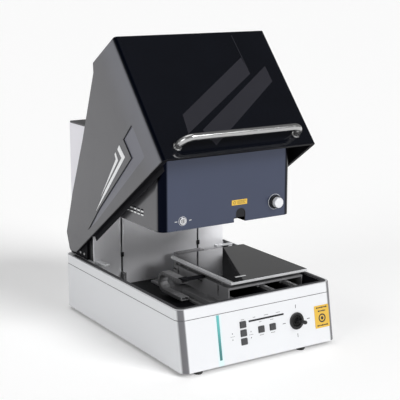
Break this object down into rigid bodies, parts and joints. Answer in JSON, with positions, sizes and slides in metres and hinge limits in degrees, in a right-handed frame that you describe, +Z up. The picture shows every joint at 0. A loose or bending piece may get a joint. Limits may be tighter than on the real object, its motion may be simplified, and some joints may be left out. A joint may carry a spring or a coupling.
{
  "type": "x-ray coating thickness analyser",
  "caption": "Bench-top X-ray coating analyser: low base with control panel, rear column, fixed measuring head, motorised sample stage and swing-up hood.",
  "frame": {"origin": "centre of the bounding box in plan, on the surface the feet stand on", "axes": "+X right, +Y to the back, +Z up; the control panel faces -Y"},
  "size_m": [0.55, 0.7946, 0.9304],
  "materials": {
    "white_paint": "satin powder coat",
    "silver_paint": "satin silver paint",
    "dark_paint": "matt black paint",
    "cover_grey": "satin dark grey paint",
    "hood_grey": "satin grey lacquer on aluminium",
    "hood_black": "high gloss black",
    "navy_paint": "metallic navy lacquer",
    "stainless": "polished stainless",
    "steel": "ground steel",
    "chrome": "polished",
    "aluminium": "satin anodised",
    "plate_dark": "polished dark anodised",
    "carriage_grey": "grey anodised",
    "black_plastic": "moulded, fine texture",
    "button_grey": "fine texture",
    "rubber": "matt",
    "seal_rubber": "matt",
    "led_teal": "translucent light guide",
    "label_yellow": "printed label",
    "white_inlay": "gloss white",
    "dark_glass": "dark window",
    "pcb": "solder mask"
  },
  "bodies": {
    "base": {"base_housing": "white_paint", "bottom_plate": "dark_paint", "feet": "rubber", "top_frame": "white_paint", "rim_seal": "seal_rubber", "chamber_deck": "dark_paint", "well_liner": "dark_paint", "led_strip": "led_teal", "status_bar": "dark_glass", "warning_plate": "label_yellow", "joystick_bezel": "black_plastic", "control_board": "pcb", "column_panel": "silver_paint", "cabinet_shell": "silver_paint", "cabinet_top": "cover_grey", "rear_panel": "silver_paint", "fan_frame": "black_plastic", "power_inlet": "black_plastic", "switch_bezel": "black_plastic", "lift_rails": "steel", "hinge_brackets": "dark_paint", "hinge_pins": "steel", "head_shell": "navy_paint", "head_floor": "dark_paint", "view_window": "dark_glass", "head_label": "label_yellow", "collimator": "steel", "xray_tube": "aluminium", "detector": "aluminium", "sample_camera": "black_plastic", "key_bezel": "chrome", "power_supply": "aluminium"},
    "hood": {"hood_side_left": "hood_grey", "hood_side_right": "hood_grey", "hood_front_panel": "hood_black", "hood_top_panel": "hood_grey", "hood_inlays": "white_inlay", "hood_handle": "stainless", "hood_hinge_plates": "dark_paint"},
    "lift": {"lift_carriage": "steel", "stage_platform": "carriage_grey", "y_rails": "steel"},
    "y_stage": {"y_carriage": "carriage_grey", "x_rails": "steel"},
    "x_stage": {"x_table": "carriage_grey", "stage_plate": "plate_dark"},
    "x_chain": {"x_chain": "black_plastic"},
    "y_chain": {"y_chain": "black_plastic"},
    "fan": {"fan_rotor": "black_plastic"},
    "raise_button": {"button_raise": "button_grey"},
    "stop_button": {"button_stop": "button_grey"},
    "lower_button": {"button_lower": "button_grey"},
    "start_button": {"button_start": "button_grey"},
    "hood_button": {"button_hood": "button_grey"},
    "gimbal": {"joystick_gimbal": "rubber"},
    "stick": {"joystick_stick": "black_plastic"},
    "knob": {"focus_knob": "black_plastic", "knob_cap": "aluminium"},
    "key": {"key_plug": "chrome"},
    "rocker": {"power_switch": "black_plastic"}
  },
  "joints": [
    {"name": "hood_swing", "type": "hinge", "parent": "base", "child": "hood", "pos_m": [0, 0.36422, 0.2594], "axis": [1, 0, 0], "range_deg": [0, 34.7]},
    {"name": "stage_lift", "type": "slide", "parent": "base", "child": "lift", "axis": [0, 0, 1], "range_m": [0, 0.14]},
    {"name": "stage_y", "type": "slide", "parent": "lift", "child": "y_stage", "axis": [0, 1, 0], "range_m": [-0.055, 0.095]},
    {"name": "stage_x", "type": "slide", "parent": "y_stage", "child": "x_stage", "axis": [1, 0, 0], "range_m": [-0.1, 0]},
    {"name": "x_chain_roll", "type": "slide", "parent": "y_stage", "child": "x_chain", "axis": [1, 0, 0], "range_m": [-0.05, 0]},
    {"name": "y_chain_roll", "type": "slide", "parent": "lift", "child": "y_chain", "axis": [0, 1, 0], "range_m": [-0.0275, 0.0475]},
    {"name": "fan_spin", "type": "hinge", "parent": "base", "child": "fan", "pos_m": [0.12, 0.37932, 0.47], "axis": [0, 1, 0], "continuous": true},
    {"name": "knob_turn", "type": "hinge", "parent": "base", "child": "knob", "pos_m": [0.173, -0.18568, 0.422], "axis": [0, 1, 0], "continuous": true},
    {"name": "key_turn", "type": "hinge", "parent": "base", "child": "key", "pos_m": [-0.16, -0.17568, 0.403], "axis": [0, 1, 0], "range_deg": [0, 90]},
    {"name": "power_rock", "type": "hinge", "parent": "base", "child": "rocker", "pos_m": [-0.095, 0.38332, 0.25], "axis": [1, 0, 0], "range_deg": [-16, 0]},
    {"name": "joystick_pitch", "type": "hinge", "parent": "base", "child": "gimbal", "pos_m": [0.132, -0.34339, 0.09235], "axis": [1, 0, 0], "range_deg": [-18, 18], "stiffness_Nm_per_rad": 0.4},
    {"name": "joystick_yaw", "type": "hinge", "parent": "gimbal", "child": "stick", "pos_m": [0.132, -0.34339, 0.09235], "axis": [0, 0.1736, 0.9848], "range_deg": [-18, 18], "stiffness_Nm_per_rad": 0.4},
    {"name": "raise_press", "type": "slide", "parent": "base", "child": "raise_button", "axis": [0, 0.9848, -0.1736], "range_m": [0, 0.002], "stiffness_N_per_m": 400},
    {"name": "stop_press", "type": "slide", "parent": "base", "child": "stop_button", "axis": [0, 0.9848, -0.1736], "range_m": [0, 0.002], "stiffness_N_per_m": 400},
    {"name": "lower_press", "type": "slide", "parent": "base", "child": "lower_button", "axis": [0, 0.9848, -0.1736], "range_m": [0, 0.002], "stiffness_N_per_m": 400},
    {"name": "start_press", "type": "slide", "parent": "base", "child": "start_button", "axis": [0, 0.9848, -0.1736], "range_m": [0, 0.002], "stiffness_N_per_m": 400},
    {"name": "hood_press", "type": "slide", "parent": "base", "child": "hood_button", "axis": [0, 0.9848, -0.1736], "range_m": [0, 0.002], "stiffness_N_per_m": 400}
  ],
  "couplings": [
    {"joint": "x_chain_roll", "follows": "stage_x", "ratio": 0.5},
    {"joint": "y_chain_roll", "follows": "stage_y", "ratio": 0.5}
  ]
}
